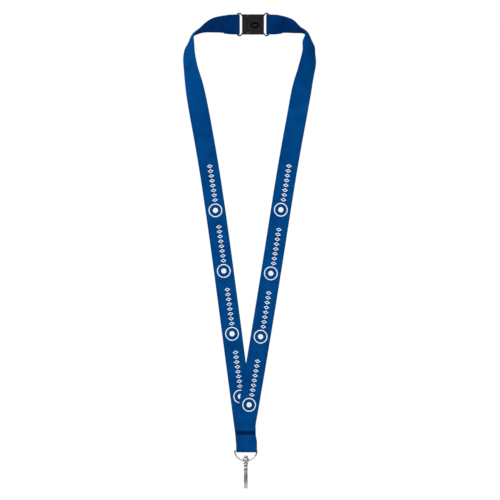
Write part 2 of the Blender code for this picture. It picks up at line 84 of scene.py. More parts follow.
# ---- webbing surface ----
ROW_STEP = 1.0
RIB_PITCH = 0.62
WARP_PITCH = 0.42
DARK_DYE_AND_SHADE_OFFSET = 100.0           # added to the across coordinate where the webbing gets the darker colour: partly a darker dye on the plain back, partly painted shade
SHADED_TAIL_LENGTH = 17.0            # nearer the cut end than this the front face gets the darker colour too: painted shade on the folded tail
SELVEDGE = 1.5               # width of the thicker woven edge
GROOVE_DEPTH = 0.07
SEAM_DIP = 0.5               # how far the sewing pulls the front layer in
SEAM_DIP_HALF = 3.4
SHOULDER_CUP = {-1: 1.5, 1: 3.0}    # the webbing bows outward where it turns over at the shoulder
SHOULDER_SET_BACK = 1.5
SHOULDER_SPAN = 13.0
SHOULDER_AT = {-1: 47.0, 1: 47.0}
LOOP_FLARE = 0.045           # the sewn loop spreads over the ring's bar
LOOP_SHIFT = 0.75
TAIL_STITCHES_AT = (9.6, 12.2)      # two rows, measured from the clasp's bar
SEAM_SEWING_Z = SEAM_Z - 0.8
WAVE_TURN = 6.28


# ---------------------------------------------------------------- materials
def new_material(name):
    material = bpy.data.materials.new(name)
    material.use_nodes = True
    tree = material.node_tree
    return material, tree, tree.nodes["Principled BSDF"]


def node(tree, kind, **settings):
    made = tree.nodes.new(kind)
    for key, value in settings.items():
        setattr(made, key, value)
    return made


def ramp(tree, source, stops):
    made = node(tree, "ShaderNodeValToRGB")
    elements = made.color_ramp.elements
    while len(elements) < len(stops):
        elements.new(0.5)
    for element, (place, colour) in zip(elements, stops):
        element.position = place
        element.color = (*colour, 1.0)
    tree.links.new(source, made.inputs["Fac"])
    return made.outputs["Color"]


def grey_stops(*stops):
    return [(place, (grey, grey, grey)) for place, grey in stops]


def noise(tree, vector, scale, detail=3.0, roughness=0.55):
    made = node(tree, "ShaderNodeTexNoise")
    made.inputs["Scale"].default_value = scale
    made.inputs["Detail"].default_value = detail
    made.inputs["Roughness"].default_value = roughness
    tree.links.new(vector, made.inputs["Vector"])
    return made.outputs["Fac"]


def math_node(tree, operation, a, b=None):
    made = node(tree, "ShaderNodeMath", operation=operation)
    for socket, value in ((made.inputs[0], a), (made.inputs[1], b)):
        if value is None:
            continue
        if isinstance(value, (int, float)):
            socket.default_value = value
        else:
            tree.links.new(value, socket)
    return made.outputs[0]


def scaled(tree, source, gain, offset):
    return math_node(tree, "ADD", math_node(tree, "MULTIPLY", source, gain), offset)


def stripes(tree, place, pitch):
    return math_node(tree, "SINE", math_node(tree, "MULTIPLY", place, 2.0 * math.pi / pitch))


def add_bump(tree, shader, height, strength, distance):
    bump = node(tree, "ShaderNodeBump")
    bump.inputs["Strength"].default_value = strength
    bump.inputs["Distance"].default_value = distance
    tree.links.new(height, bump.inputs["Height"])
    tree.links.new(bump.outputs["Normal"], shader.inputs["Normal"])


def object_place(tree):
    return node(tree, "ShaderNodeTexCoord").outputs["Object"]


def axes(tree, vector):
    split = node(tree, "ShaderNodeSeparateXYZ")
    tree.links.new(vector, split.inputs[0])
    return split.outputs


def cloth_axes(tree):
    """Places across and along the flat webbing, in millimetres."""
    uv = node(tree, "ShaderNodeUVMap", uv_map="cloth").outputs["UV"]
    across, along, _ = axes(tree, uv)
    return across, along


def webbing_material():
    """Flat-woven polyester: cross ribs from the weft, fine warp lines, a little uneven dye; the plain back
    and the folded tail are darker, partly darker dye, partly painted shade.
    """
    material, tree, shader = new_material("webbing_polyester")
    across, along = cloth_axes(tree)
    rib = stripes(tree, along, RIB_PITCH)
    warp = stripes(tree, across, WARP_PITCH)
    crossing = math_node(tree, "MULTIPLY", rib, warp)
    weave = math_node(tree, "ADD", math_node(tree, "MULTIPLY", rib, 0.7),
                      math_node(tree, "MULTIPLY", crossing, 0.45))
    place = object_place(tree)
    cloudy = noise(tree, place, 90.0, 4.0)
    shade = scaled(tree, weave, 0.06, cloudy)
    lighter_colour = ramp(tree, shade, [(0.25, (0.0, 0.040, 0.165)), (0.5, (0.0001, 0.054, 0.212)),
                                 (0.75, (0.0003, 0.066, 0.248))])
    # darker colour for the plain back and the folded tail: partly a darker dye, partly painted shade
    plain_dye_and_painted_shade = ramp(tree, shade, [(0.25, (0.0, 0.021, 0.102)), (0.5, (0.0001, 0.029, 0.134)),
                                   (0.75, (0.0002, 0.036, 0.16))])
    dark_dye_and_shade_mask = math_node(tree, "GREATER_THAN", across, DARK_DYE_AND_SHADE_OFFSET / 2.0)
    colour = mix_colour(tree, dark_dye_and_shade_mask, lighter_colour, plain_dye_and_painted_shade)
    tree.links.new(colour, shader.inputs["Base Color"])
    rough = scaled(tree, weave, 0.04, 0.62)
    tree.links.new(rough, shader.inputs["Roughness"])
    shader.inputs["Specular IOR Level"].default_value = 0.01
    shader.inputs["Sheen Weight"].default_value = 0.08
    shader.inputs["Sheen Roughness"].default_value = 0.45
    shader.inputs["Sheen Tint"].default_value = (0.0, 0.22, 0.75, 1.0)
    add_bump(tree, shader, weave, 0.55, 0.00006)
    return material


def thread_material():
    """Twisted navy sewing thread."""
    material, tree, shader = new_material("thread_navy")
    place = object_place(tree)
    wave = node(tree, "ShaderNodeTexWave", wave_type="BANDS", bands_direction="DIAGONAL")
    wave.inputs["Scale"].default_value = 900.0
    wave.inputs["Distortion"].default_value = 1.5
    tree.links.new(place, wave.inputs["Vector"])
    colour = ramp(tree, wave.outputs["Fac"], [(0.0, (0.0002, 0.010, 0.055)), (1.0, (0.0004, 0.019, 0.095))])
    tree.links.new(colour, shader.inputs["Base Color"])
    shader.inputs["Roughness"].default_value = 0.6
    shader.inputs["Specular IOR Level"].default_value = 0.05
    add_bump(tree, shader, wave.outputs["Fac"], 0.6, 0.00005)
    return material


def ink_material():
    """White screen-print ink lying on the weave."""
    material, tree, shader = new_material("print_white")
    _, along = cloth_axes(tree)
    rib = stripes(tree, along, RIB_PITCH)
    place = object_place(tree)
    worn = scaled(tree, rib, 0.12, noise(tree, place, 700.0))
    colour = ramp(tree, worn, [(0.25, (0.70, 0.76, 0.83)), (0.5, (0.90, 0.93, 0.95)),
                               (0.75, (0.95, 0.96, 0.97))])
    tree.links.new(colour, shader.inputs["Base Color"])
    shader.inputs["Roughness"].default_value = 0.55
    add_bump(tree, shader, worn, 0.4, 0.00005)
    return material


def edge_mask(tree, low, high):
    """Brightens exposed edges, from the surface's own curvature."""
    geometry = node(tree, "ShaderNodeNewGeometry")
    return ramp(tree, geometry.outputs["Pointiness"], grey_stops((low, 0.0), (high, 1.0)))


def mix_colour(tree, factor, first, second):
    made = node(tree, "ShaderNodeMix", data_type="RGBA")
    tree.links.new(factor, made.inputs["Factor"])
    for name, value in (("A", first), ("B", second)):
        socket = [s for s in made.inputs if s.name == name and s.type == "RGBA"][0]
        if isinstance(value, tuple):
            socket.default_value = (*value, 1.0)
        else:
            tree.links.new(value, socket)
    return [s for s in made.outputs if s.type == "RGBA"][0]


def plastic_material():
    """Black moulded acetal: spark-eroded grain, faintly polished edges."""
    material, tree, shader = new_material("plastic_black")
    place = object_place(tree)
    grain = noise(tree, place, 2600.0, 3.0, 0.6)
    cloudy = noise(tree, place, 160.0, 3.0)
    base = ramp(tree, cloudy, [(0.3, (0.0075, 0.0075, 0.0075)), (0.7, (0.0105, 0.0105, 0.0103))])
    colour = mix_colour(tree, edge_mask(tree, 0.53, 0.62), base, (0.02, 0.02, 0.0195))
    tree.links.new(colour, shader.inputs["Base Color"])
    rough = scaled(tree, grain, 0.18, 0.36)
    tree.links.new(rough, shader.inputs["Roughness"])
    shader.inputs["Specular IOR Level"].default_value = 0.08
    add_bump(tree, shader, grain, 0.35, 0.00004)
    return material


def groove_shade_material():
    """The same black plastic, much darker and duller: painted shade in the oval groove."""
    material, tree, shader = new_material("plastic_groove_shade")
    place = object_place(tree)
    colour = ramp(tree, noise(tree, place, 300.0), grey_stops((0.3, 0.0012), (0.7, 0.0022)))
    tree.links.new(colour, shader.inputs["Base Color"])
    shader.inputs["Roughness"].default_value = 0.5
    shader.inputs["Specular IOR Level"].default_value = 0.01
    return material


def metal_material(name, tone, rough_base):
    """Bright nickel plate: slightly uneven polish and fine handling marks."""
    material, tree, shader = new_material(name)
    place = object_place(tree)
    cloudy = noise(tree, place, 240.0, 4.0)
    colour = ramp(tree, cloudy, [(0.3, tuple(c * 0.88 for c in tone)), (0.7, tone)])
    tree.links.new(colour, shader.inputs["Base Color"])
    shader.inputs["Metallic"].default_value = 1.0
    stretch = node(tree, "ShaderNodeMapping")
    stretch.inputs["Scale"].default_value = (1.0, 1.0, 7.0)
    tree.links.new(place, stretch.inputs["Vector"])
    marks = noise(tree, stretch.outputs["Vector"], 900.0, 5.0, 0.7)
    rough = scaled(tree, marks, 0.16, rough_base)
    tree.links.new(rough, shader.inputs["Roughness"])
    add_bump(tree, shader, marks, 0.12, 0.00003)
    return material


# ---------------------------------------------------------------- meshes
def add_piece(name, vertices, faces, material, body, sharp_angle=35.0, uvs=None):
    """A mesh from points in millimetres; uvs holds one (across, along) pair for each vertex."""
    mesh = bpy.data.meshes.new(name)
    mesh.from_pydata([tuple(Vector(v) * MM) for v in vertices], [], faces)
    if uvs is not None:
        layer = mesh.uv_layers.new(name="cloth")
        for loop in mesh.loops:
            layer.data[loop.index].uv = uvs[loop.vertex_index]
    work = bmesh.new()
    work.from_mesh(mesh)
    bmesh.ops.recalc_face_normals(work, faces=work.faces)
    work.to_mesh(mesh)
    work.free()
    mesh.shade_smooth()
    mesh.set_sharp_from_angle(angle=math.radians(sharp_angle))
    if material is not None:
        mesh.materials.append(material)
    item = bpy.data.objects.new(name, mesh)
    bpy.context.scene.collection.objects.link(item)
    if body is not None:
        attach(item, body)
    return item


def apply_steps(item, steps):
    """Adds modifiers, bakes them into the mesh and removes the tools they used."""
    tools = []
    for kind, settings in steps:
        step = item.modifiers.new(kind, kind)
        for key, value in settings.items():
            setattr(step, key, value)
        if kind == "BOOLEAN":
            step.solver = "EXACT"
            tools.append(settings["object"])
    bpy.context.view_layer.update()
    baked = bpy.data.meshes.new_from_object(item.evaluated_get(bpy.context.evaluated_depsgraph_get()))
    item.modifiers.clear()
    item.data = baked
    for tool in tools:
        bpy.data.objects.remove(tool, do_unlink=True)
    baked.shade_smooth()
    baked.set_sharp_from_angle(angle=math.radians(35.0))
    return item


def bevel_step(width, segments=3, angle=40.0):
    return "BEVEL", {"width": width * MM, "segments": segments, "limit_method": "ANGLE",
                     "angle_limit": math.radians(angle), "harden_normals": False}


def join_step(tool):
    return "BOOLEAN", {"operation": "UNION", "object": tool}


def cut_step(tool):
    return "BOOLEAN", {"operation": "DIFFERENCE", "object": tool}


def plain(name, shape):
    """A solid without material yet: the start of a piece, or a tool that a boolean uses up."""
    vertices, faces = shape
    return add_piece(name, vertices, faces, None, None)


def finish_piece(item, material, body):
    item.data.materials.clear()
    item.data.materials.append(material)
    for polygon in item.data.polygons:
        polygon.material_index = 0
    if body is not None:
        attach(item, body)
    return item


def circle(radius, count=40):
    angles = [2.0 * math.pi * k / count for k in range(count)]
    return [(radius * math.cos(angle), radius * math.sin(angle)) for angle in angles]


def rounded_outline(corners, steps=8):
    """Points of a closed outline; each corner is (u, w, radius)."""
    points = []
    count = len(corners)
    for i, (u, w, radius) in enumerate(corners):
        here = Vector((u, w))
        back = (Vector(corners[i - 1][:2]) - here).normalized()
        ahead = (Vector(corners[(i + 1) % count][:2]) - here).normalized()
        if radius == 0.0:
            points.append(tuple(here))
            continue
        half = back.angle(ahead) / 2.0
        reach = radius / math.tan(half)
        centre = here + (back + ahead).normalized() * (radius / math.sin(half))
        first = here + back * reach - centre
        last = here + ahead * reach - centre
        sweep = first.angle_signed(last)
        for k in range(steps + 1):
            turn = Matrix.Rotation(-sweep * k / steps, 2)
            points.append(tuple(centre + turn @ first))
    return points


def prism(outline, place):
    count = len(outline)
    vertices = [place(u, w, end) for end in (0, 1) for u, w in outline]
    faces = [(i, (i + 1) % count, count + (i + 1) % count, count + i) for i in range(count)]
    faces += [tuple(range(count)), tuple(range(count, 2 * count))]
    return vertices, faces


def ring_faces(count):
    """Faces of a closed band whose points are outer, inner, far outer, far inner."""
    faces = []
    for k in range(count):
        after = (k + 1) % count
        faces += [(k, after, count + after, count + k),
                  (2 * count + k, 2 * count + after, 3 * count + after, 3 * count + k),
                  (k, after, 2 * count + after, 2 * count + k),
                  (count + k, count + after, 3 * count + after, 3 * count + k)]
    return faces


def box(x, y, z):
    outline = [(x[0], z[0]), (x[1], z[0]), (x[1], z[1]), (x[0], z[1])]
    return prism(outline, lambda u, w, end: (u, y[end], w))


def turned(profile, axis_x, axis_y, sides=48):
    """Solid turned about a vertical axis; profile is (radius, z) from top to bottom."""
    vertices = []
    faces = []
    rings = []
    for radius, z in profile:
        if radius == 0.0:
            rings.append([len(vertices)])
            vertices.append((axis_x, axis_y, z))
            continue
        rings.append(list(range(len(vertices), len(vertices) + sides)))
        vertices += [(axis_x + x, axis_y + y, z) for x, y in circle(radius, sides)]
    for upper, lower in zip(rings, rings[1:]):
        for k in range(sides):
            loop = [upper[k % len(upper)], upper[(k + 1) % len(upper)],
                    lower[(k + 1) % len(lower)], lower[k % len(lower)]]
            faces.append(tuple(dict.fromkeys(loop)))
    return vertices, faces


def tube(points, radii, sides=12, closed=False):
    """Round bar through the points; radii is one radius or one for each point."""
    points = [Vector(p) for p in points]
    count = len(points)
    if isinstance(radii, (int, float)):
        radii = [radii] * count
    side = None
    vertices = []
    for i, point in enumerate(points):
        before = points[i - 1] if closed or i > 0 else point
        after = points[(i + 1) % count] if closed or i < count - 1 else point
        along = (after - before).normalized()
        if side is None:
            side = along.orthogonal().normalized()
        side = (side - along * side.dot(along)).normalized()
        other = along.cross(side)
        vertices += [tuple(point + side * u + other * w) for u, w in circle(radii[i], sides)]
    faces = []
    for i in range(count if closed else count - 1):
        for k in range(sides):
            faces.append((i * sides + k, i * sides + (k + 1) % sides,
                          (i + 1) % count * sides + (k + 1) % sides, (i + 1) % count * sides + k))
    if not closed:
        faces += [tuple(range(sides)), tuple(range((count - 1) * sides, count * sides))]
    return vertices, faces


def merged(shapes):
    """Several closed shapes as one mesh's vertices and faces."""
    vertices = []
    faces = []
    for more_vertices, more_faces in shapes:
        base = len(vertices)
        vertices += more_vertices
        faces += [tuple(base + i for i in face) for face in more_faces]
    return vertices, faces


# ---------------------------------------------------------------- strap paths
def smoothstep(t):
    t = np.clip(t, 0.0, 1.0)
    return t * t * (3.0 - 2.0 * t)


def smooth_value(knots, values, s):
    """Smooth curve through values given at the knots."""
    knots = np.asarray(knots, float)
    values = np.asarray(values, float)
    slopes = np.gradient(values, knots)
    slopes[0] = slopes[-1] = 0.0
    i = np.clip(np.searchsorted(knots, s) - 1, 0, len(knots) - 2)
    span = knots[i + 1] - knots[i]
    t = np.clip((s - knots[i]) / span, 0.0, 1.0)
    return ((2 * t**3 - 3 * t**2 + 1) * values[i] + (t**3 - 2 * t**2 + t) * span * slopes[i]
            + (3 * t**2 - 2 * t**3) * values[i + 1] + (t**3 - t**2) * span * slopes[i + 1])


def fold_radius(bar_r):
    return bar_r + FIT_GAP + WEB_THICK / 2.0


def layer_offset(s):
    """How far the strap's run stands off the middle plane of its sewn end."""
    fold_r = fold_radius(BAR_SIZE / 2.0 + 0.1)
    if s < TAIL_LENGTH + 2.0:
        return LAYER_HALF_PITCH + (fold_r - LAYER_HALF_PITCH) * float(1.0 - smoothstep(s / FOLD_BLEND))
    return LAYER_HALF_PITCH * float(1.0 - smoothstep((s - TAIL_LENGTH - 2.0) / 24.0))


class Strap:
    """One strap: its path, and rows of (centre, normal, across) in the order of the flat webbing."""

    def __init__(self, side, heading_knots, headings, twists, length, end_y):
        s = np.linspace(0.0, length, int(length * 2) + 1)
        heading = np.radians(smooth_value(heading_knots, headings, s))
        twist = np.radians(smooth_value(KNOTS, twists, s))
        start_y = CLASP_THICK / 2.0
        y = start_y + (end_y - start_y) * smoothstep((s - FORWARD_FROM) / FORWARD_LENGTH)
        slope = np.gradient(y, s)
        flat = np.sqrt(1.0 - slope**2)
        along = np.stack([-np.cos(heading) * flat, slope, -np.sin(heading) * flat], axis=1)
        outward = np.stack([-np.sin(heading), 0.0 * heading, np.cos(heading)], axis=1)
        away = np.cross(along, outward)
        normal = np.cos(twist)[:, None] * away + np.sin(twist)[:, None] * outward
        across = np.cross(normal, along)
        middle = (along[1:] + along[:-1]) / 2.0 * np.diff(s)[:, None]
        centre = np.concatenate([[[0.0, 0.0, 0.0]], np.cumsum(middle, axis=0)])
        centre += np.array([-BAR_X, 0.0, 0.0])
        centre[:, 1] = y
        mirror = np.array([-side, 1.0, 1.0])
        self.s = s
        self.side = side
        self.length = length
        self.centre = centre * mirror
        self.along = along * mirror
        self.normal = normal * mirror
        self.across = across * mirror
        self.rows = []
        self.sewn = []
        self.bar = None
        self.tail_rows()
        self.run_start = self.flat_length()
        self.run_rows()
        self.run_end = self.flat_length()

    def path_at(self, s):
        return [Vector([float(np.interp(s, self.s, rows[:, k])) for k in range(3)])
                for rows in (self.centre, self.along, self.normal, self.across)]

    def add_row(self, centre, normal, across):
        self.rows.append((centre, normal.normalized(), across.normalized()))

    def flat_length(self):
        """Length of the webbing laid so far, from its cut end."""
        centres = [row[0] for row in self.rows]
        return sum((b - a).length for a, b in zip(centres, centres[1:]))

    def half_turn(self, centre, start, end, across, radius, steps=16):
        for k in range(1, steps):
            angle = math.pi * k / steps
            normal = start * math.cos(angle) + end * math.sin(angle)
            self.add_row(centre + normal * radius, normal, across)

    def tail_rows(self):
        for s in np.arange(TAIL_LENGTH, 0.2, -ROW_STEP * 0.75):
            centre, along, normal, across = self.path_at(s)
            self.add_row(centre - normal * layer_offset(s), -normal, across)
        centre, along, normal, across = self.path_at(0.0)
        self.add_row(centre - normal * layer_offset(0.0), -normal, across)
        self.half_turn(centre, -normal, -along, across, layer_offset(0.0))

    def run_rows(self):
        for s in np.linspace(0.0, self.length, int(self.length / ROW_STEP) + 1):
            centre, along, normal, across = self.path_at(s)
            self.add_row(centre + normal * layer_offset(s), normal, across)

    def loop_rows(self):
        """The turn round the D-ring's bar and the tail up behind the seam."""
        centre, along, normal, across = self.path_at(self.length)
        radius = fold_radius(WIRE_R)
        self.bar = centre - normal * radius
        self.half_turn(self.bar, normal, along, across, radius)
        back = self.bar - normal * radius
        for z in np.linspace(back.z, LOOP_TAIL_TOP, 22):
            self.add_row(Vector((back.x, back.y, z)), -normal, across)

    def close(self):
        """Fixes the rows and measures the flat distance of each from the cut end."""
        self.row_centre = np.array([tuple(row[0]) for row in self.rows])
        self.row_normal = np.array([tuple(row[1]) for row in self.rows])
        self.row_across = np.array([tuple(row[2]) for row in self.rows])
        steps = np.linalg.norm(np.diff(self.row_centre, axis=0), axis=1)
        self.flat = np.concatenate([[0.0], np.cumsum(steps)])
        rng = random.Random(int(self.length))
        self.waves = [(rng.uniform(19.0, 61.0), rng.uniform(0.0, WAVE_TURN), rng.uniform(0.03, 0.07))
                      for _ in range(5)]

    def relief(self, flat, v):
        """Waves of used webbing: how far the middle layer stands off its smooth path."""
        free = float(smoothstep((flat - 30.0) / 40.0) * smoothstep((self.run_end - 25.0 - flat) / 30.0))
        wave = sum(size * math.sin(flat / span * WAVE_TURN + phase) for span, phase, size in self.waves)
        arch = 1.0 - (v / (WEB_WIDTH / 2.0)) ** 2
        near = math.exp(-((flat - self.run_start - SHOULDER_AT[self.side]) / SHOULDER_SPAN) ** 2)
        bow = near * (SHOULDER_CUP[self.side] * arch - SHOULDER_SET_BACK)
        return free * (wave + 0.12 * arch * math.sin(flat / 47.0 + self.length)) + bow

    def dip(self, flat):
        """How far sewing pulls the outer face in."""
        pull = 0.0
        for place, depth, half in self.sewn:
            t = abs(flat - place) / half
            if t < 1.0:
                pull += depth * (1.0 - t * t) ** 2
        return pull

    def face_point(self, flat, v, share):
        """A point of the webbing: v across, share of the half thickness from the middle layer."""
        pull = self.dip(flat)
        lift = share * WEB_THICK / 2.0 + self.relief(flat, v)
        lift -= pull if share > 0.0 else pull * 0.4
        return self.point(flat, v, lift)

    def point(self, flat, v, lift):
        centre, normal, across = [Vector([float(np.interp(flat, self.flat, rows[:, k])) for k in range(3)])
                                  for rows in (self.row_centre, self.row_normal, self.row_across)]
        spread = self.loop_spread(flat)
        wide = v * (1.0 + LOOP_FLARE * spread) - LOOP_SHIFT * spread
        return centre + across.normalized() * wide + normal.normalized() * lift

    def loop_spread(self, flat):
        if self.bar is None:
            return 0.0
        return float(smoothstep((flat - self.run_end + 14.0) / 11.0) *
                     smoothstep((self.flat[-1] - 6.0 - flat) / 9.0))

    def flat_at_z(self, z):
        """Flat distance where the hanging run passes a height."""
        run = (self.flat > self.run_start + 100.0) & (self.flat < self.run_end)
        return float(np.interp(-z, -self.row_centre[run, 2], self.flat[run]))


def section():
    """Half of the webbing's cross-section: (place across, share of the half thickness)."""
    half = WEB_WIDTH / 2.0
    inner = half - SELVEDGE
    places = [(half, 0.0), (half - 0.05, 0.45), (half - 0.16, 0.78), (half - 0.34, 0.98),
              (half - 0.7, 1.06), (half - 1.1, 1.04), (inner + 0.12, 0.94),
              (inner, 1.0 - GROOVE_DEPTH * 3.2), (inner - 0.14, 0.94), (inner - 0.5, 1.0)]
    middle = [(v, 1.0) for v in np.linspace(inner - 1.6, 0.0, 6)]
    right = places + middle
    left = [(-v, share) for v, share in reversed(right[:-1])]
    return right + left


def webbing(name, strap, material, body):
    """The strap's mesh, with its thicker woven edges and the dips that sewing makes."""
    upper = section()
    ring = [(v, share) for v, share in upper] + [(v, -share) for v, share in reversed(upper[1:-1])]
    vertices = []
    uvs = []
    for flat in strap.flat:
        for v, share in ring:
            vertices.append(tuple(strap.face_point(float(flat), v, share)))
            # the back face and the folded tail's front get the darker colour: partly darker dye, partly
            # painted shade
            lighter_colour = share >= 0.0 and flat > SHADED_TAIL_LENGTH
            uvs.append((v if lighter_colour else DARK_DYE_AND_SHADE_OFFSET + v, float(flat)))
    size = len(ring)
    faces = []
    for i in range(len(strap.rows) - 1):
        for k in range(size):
            after = (k + 1) % size
            faces.append((size * i + k, size * i + after, size * (i + 1) + after, size * (i + 1) + k))
    last = size * (len(strap.rows) - 1)
    faces += [tuple(range(size)), tuple(range(last, last + size))]
    return add_piece(name, vertices, faces, material, body, sharp_angle=50.0, uvs=uvs)


# ---------------------------------------------------------------- print
PRINT_TOPS_Z = {-1: (-131.0, -188.6, -248.4, -308.1), 1: (-130.5, -191.0, -251.3, -316.2)}
MARK_FROM = 5.3
MARK_SHIFT = 1.0             # the row of marks stands a little off the middle
MARK_PITCH = 4.65
MARK_COUNT = 8
MARK_HALF = (2.7, 1.75)      # across the webbing, along it
MARK_LINE = 0.68
RING_AT = 47.6
RING_R = 6.5
RING_LINE = 0.85
DOT_R = 2.4
INK_LIFT = 0.03


def band(strap, flat, outer, inner):
    """A thin raised band of ink between two outlines of (along, across) offsets."""
    count = len(outer)
    top = 1.0 + INK_LIFT / (WEB_THICK / 2.0)
    vertices = []
    uvs = []
    for share in (top, top - 0.2):
        for outline in (outer, inner):
            for along, across in outline:
                vertices.append(tuple(strap.face_point(flat + along, across, share)))
                uvs.append((across, flat + along))
    return vertices, ring_faces(count), uvs


def diamond(half_across, half_along, shift, parts=5):
    corners = [(half_along, shift), (0.0, shift + half_across),
               (-half_along, shift), (0.0, shift - half_across)]
    points = []
    for (a, b), (c, d) in zip(corners, corners[1:] + corners[:1]):
        points += [(a + (c - a) * k / parts, b + (d - b) * k / parts) for k in range(parts)]
    return points


def motif(strap, flat):
    """One repeat: a row of plain diamonds and a ring with a dot."""
    shapes = []
    for k in range(MARK_COUNT):
        centre = flat + MARK_FROM + MARK_PITCH * k
        shift = -strap.side * MARK_SHIFT
        outer = diamond(*MARK_HALF, shift)
        inner = diamond(MARK_HALF[0] - MARK_LINE * 1.5, MARK_HALF[1] - MARK_LINE * 1.2, shift)
        shapes.append(band(strap, centre, outer, inner))
    centre = flat + RING_AT
    shapes.append(band(strap, centre, circle(RING_R), circle(RING_R - RING_LINE)))
    shapes.append(band(strap, centre, circle(DOT_R), circle(0.35)))
    return shapes


def prints(name, strap, material, body):
    vertices = []
    faces = []
    uvs = []
    for top_z in PRINT_TOPS_Z[strap.side]:
        for more_vertices, more_faces, more_uvs in motif(strap, strap.flat_at_z(top_z)):
            base = len(vertices)
            vertices += more_vertices
            faces += [tuple(base + i for i in face) for face in more_faces]
            uvs += more_uvs
    return add_piece(name, vertices, faces, material, body, sharp_angle=50.0, uvs=uvs)


# ---------------------------------------------------------------- sewing
THREAD_R = 0.21
SEWN_SHARE = 1.05            # the thread lies just over the webbing's face


def stitch(start, end, normal, sink=0.16):
    """One lockstitch: a short bowed length of thread whose ends dive into the webbing."""
    points = []
    radii = []
    steps = 6
    for k in range(steps + 1):
        t = k / steps
        bow = math.sin(math.pi * t)
        points.append(start.lerp(end, t) + normal * (bow * (sink + 0.12) - sink))
        radii.append(THREAD_R * (0.55 + 0.45 * bow))
    return tube(points, radii, sides=8)


def sewn_stitch(strap, start, end, share, sink=0.16):
    """A stitch on the webbing's face between two (flat, across) places."""
    first = strap.face_point(*start, share)
    last = strap.face_point(*end, share)
    normal = (strap.face_point(*start, share + 1.0) - first).normalized()
    return stitch(first, last, normal, sink)


def stitch_row(strap, flat, share, half=8.3, length=2.0, gap=0.35):
    """A row of stitches straight across the webbing."""
    count = int((2.0 * half + gap) / (length + gap))
    places = [-half + (length + gap) * k for k in range(count)]
    return [sewn_stitch(strap, (flat, v), (flat, v + length), share) for v in places]


def zigzag_row(strap, flat, share, half=9.1, step=0.44, swing=2.1):
    """A dense bar tack: short stitches swinging up and down across the webbing."""
    shapes = []
    for k in range(int(2.0 * half / step)):
        v = -half + step * k
        rise = swing if k % 2 == 0 else -swing
        shapes.append(sewn_stitch(strap, (flat - rise, v), (flat + rise, v + step), share, sink=0.03))
    return shapes


# ---------------------------------------------------------------- clasp
CLASP_HALF_HEIGHT = 9.5
CLASP_HALF_WIDTH = 10.5
PARTING_X = -4.85
EDGE_ROUND = 0.4
OVAL = {"centre": (1.9, -1.0), "half": (4.3, 2.9), "line": 1.6, "depth": 0.75}
MOUTH_GAP = 0.06             # the shoulder closes on the mouth; its rounded edges show as a line
SLOT_X = (10.5, 13.9)
SLOT_HALF = 9.95
LOOP_HALF = 11.2
CAVITY_HALF = 7.7
CAVITY_DEPTH_X = 6.4
CAVITY_Y = (1.3, 4.3)
PRONG_Y = (1.7, 3.9)
PRONG_END_X = 5.6
TONGUE_END_X = 3.5


def bar_frame(name, side):
    outer_x = BAR_X + BAR_SIZE / 2.0
    root_x = CLASP_HALF_WIDTH - 1.5
    root_half = CLASP_HALF_HEIGHT - 0.3
    corners = [(root_x, -root_half, 0.0), (CLASP_HALF_WIDTH - 0.3, -root_half, 1.0),
               (CLASP_HALF_WIDTH + 1.2, -LOOP_HALF, 0.8), (outer_x, -LOOP_HALF, 2.0),
               (outer_x, LOOP_HALF, 2.0), (CLASP_HALF_WIDTH + 1.2, LOOP_HALF, 0.8),
               (CLASP_HALF_WIDTH - 0.3, root_half, 1.0), (root_x, root_half, 0.0)]
    half = BAR_SIZE / 2.0
    y = (CLASP_THICK / 2.0 - half, CLASP_THICK / 2.0 + half)
    body = plain(name, prism(rounded_outline(corners), lambda u, w, end: (side * u, y[end], w)))
    near, far = SLOT_X
    opening = [(near, -SLOT_HALF + 2.1, 0.0), (near + 1.5, -SLOT_HALF, 0.5), (far, -SLOT_HALF, 0.0),
               (far, SLOT_HALF, 0.0), (near + 1.5, SLOT_HALF, 0.5), (near, SLOT_HALF - 2.1, 0.0)]
    through = (-1.0, CLASP_THICK + 1.0)
    slot = plain(name + "_slot", prism(rounded_outline(opening, 4),
                                       lambda u, w, end: (side * u, through[end], w)))
    return apply_steps(body, [cut_step(slot), bevel_step(0.32, 3)])


def clasp_block(name, x):
    return plain(name, box(x, (0.0, CLASP_THICK), (-CLASP_HALF_HEIGHT, CLASP_HALF_HEIGHT)))


def oval_groove(name, centre, half, line, depth):
    """Cutter for a plain oval groove in the neck-side face."""
    around = circle(1.0, 48)
    rings = [[(centre[0] + (half[0] - inset) * u, centre[1] + (half[1] - inset) * w) for u, w in around]
             for inset in (0.0, line)]
    vertices = [(u, y, w) for y in (-1.0, depth) for ring in rings for u, w in ring]
    return plain(name, (vertices, ring_faces(len(around))))


def build_socket(material, groove_shade):
    socket = clasp_block("socket_shell", (PARTING_X + MOUTH_GAP / 2.0, CLASP_HALF_WIDTH))
    apply_steps(socket, [bevel_step(EDGE_ROUND, 5)])
    cavity = plain("socket_cavity", box((PARTING_X - 3.0, CAVITY_DEPTH_X), CAVITY_Y,
                                        (-CAVITY_HALF, CAVITY_HALF)))
    apply_steps(socket, [join_step(bar_frame("socket_frame", 1)), cut_step(cavity),
                         cut_step(oval_groove("socket_oval", **OVAL))])
    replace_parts(finish_piece(socket, material, "root"), "clasp_socket")
    socket.data.materials.append(groove_shade)
    # the oval groove's floor and walls take the darker plastic: painted shade
    for polygon in socket.data.polygons:
        x, y, z = polygon.center / MM
        u = (x - OVAL["centre"][0]) / OVAL["half"][0]
        w = (z - OVAL["centre"][1]) / OVAL["half"][1]
        if 0.05 < y < CAVITY_Y[0] and u * u + w * w < 1.05:
            polygon.material_index = 1


